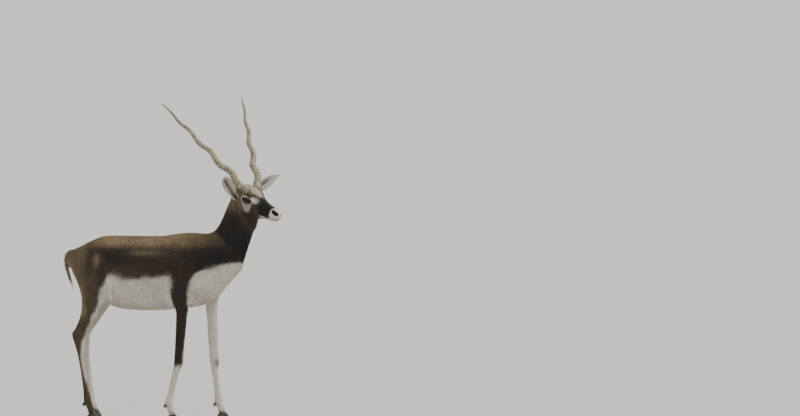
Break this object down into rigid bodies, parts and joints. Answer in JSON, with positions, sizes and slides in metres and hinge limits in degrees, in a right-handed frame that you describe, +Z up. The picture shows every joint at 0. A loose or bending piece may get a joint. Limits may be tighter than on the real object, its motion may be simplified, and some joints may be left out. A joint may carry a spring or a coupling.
{
  "type": "blackbuck",
  "caption": "Adult male blackbuck standing alert, head turned to its right, with long ringed spiral horns, dark back and white belly.",
  "frame": {"origin": "on the floor, under the middle of the animal's bounding box", "axes": "+X is the way the animal faces along its spine, +Y is its left, +Z is up"},
  "size_m": [0.9621, 0.4955, 1.3675],
  "materials": {
    "dark_coat": "short dark brown hair",
    "pale_coat": "short off-white hair",
    "horn": "ringed grey-brown horn",
    "hoof": "dark worn hoof",
    "eye": "wet and dark"
  },
  "bodies": {
    "root": {"torso": "dark_coat", "neck": "dark_coat", "head": "dark_coat", "tail": "dark_coat", "ear_right": "dark_coat", "ear_left": "dark_coat", "eye_right": "eye", "eye_left": "eye", "horn_right": "horn", "horn_left": "horn", "leg_fore_right_upper": "dark_coat", "leg_fore_left_upper": "dark_coat", "leg_hind_right_upper": "dark_coat", "leg_hind_left_upper": "dark_coat", "leg_fore_right_lower": "pale_coat", "leg_fore_left_lower": "pale_coat", "leg_hind_right_lower": "pale_coat", "leg_hind_left_lower": "pale_coat", "claw_fore_right_a": "hoof", "claw_fore_right_b": "hoof", "claw_fore_left_a": "hoof", "claw_fore_left_b": "hoof", "claw_hind_right_a": "hoof", "claw_hind_right_b": "hoof", "claw_hind_left_a": "hoof", "claw_hind_left_b": "hoof"}
  },
  "joints": []
}
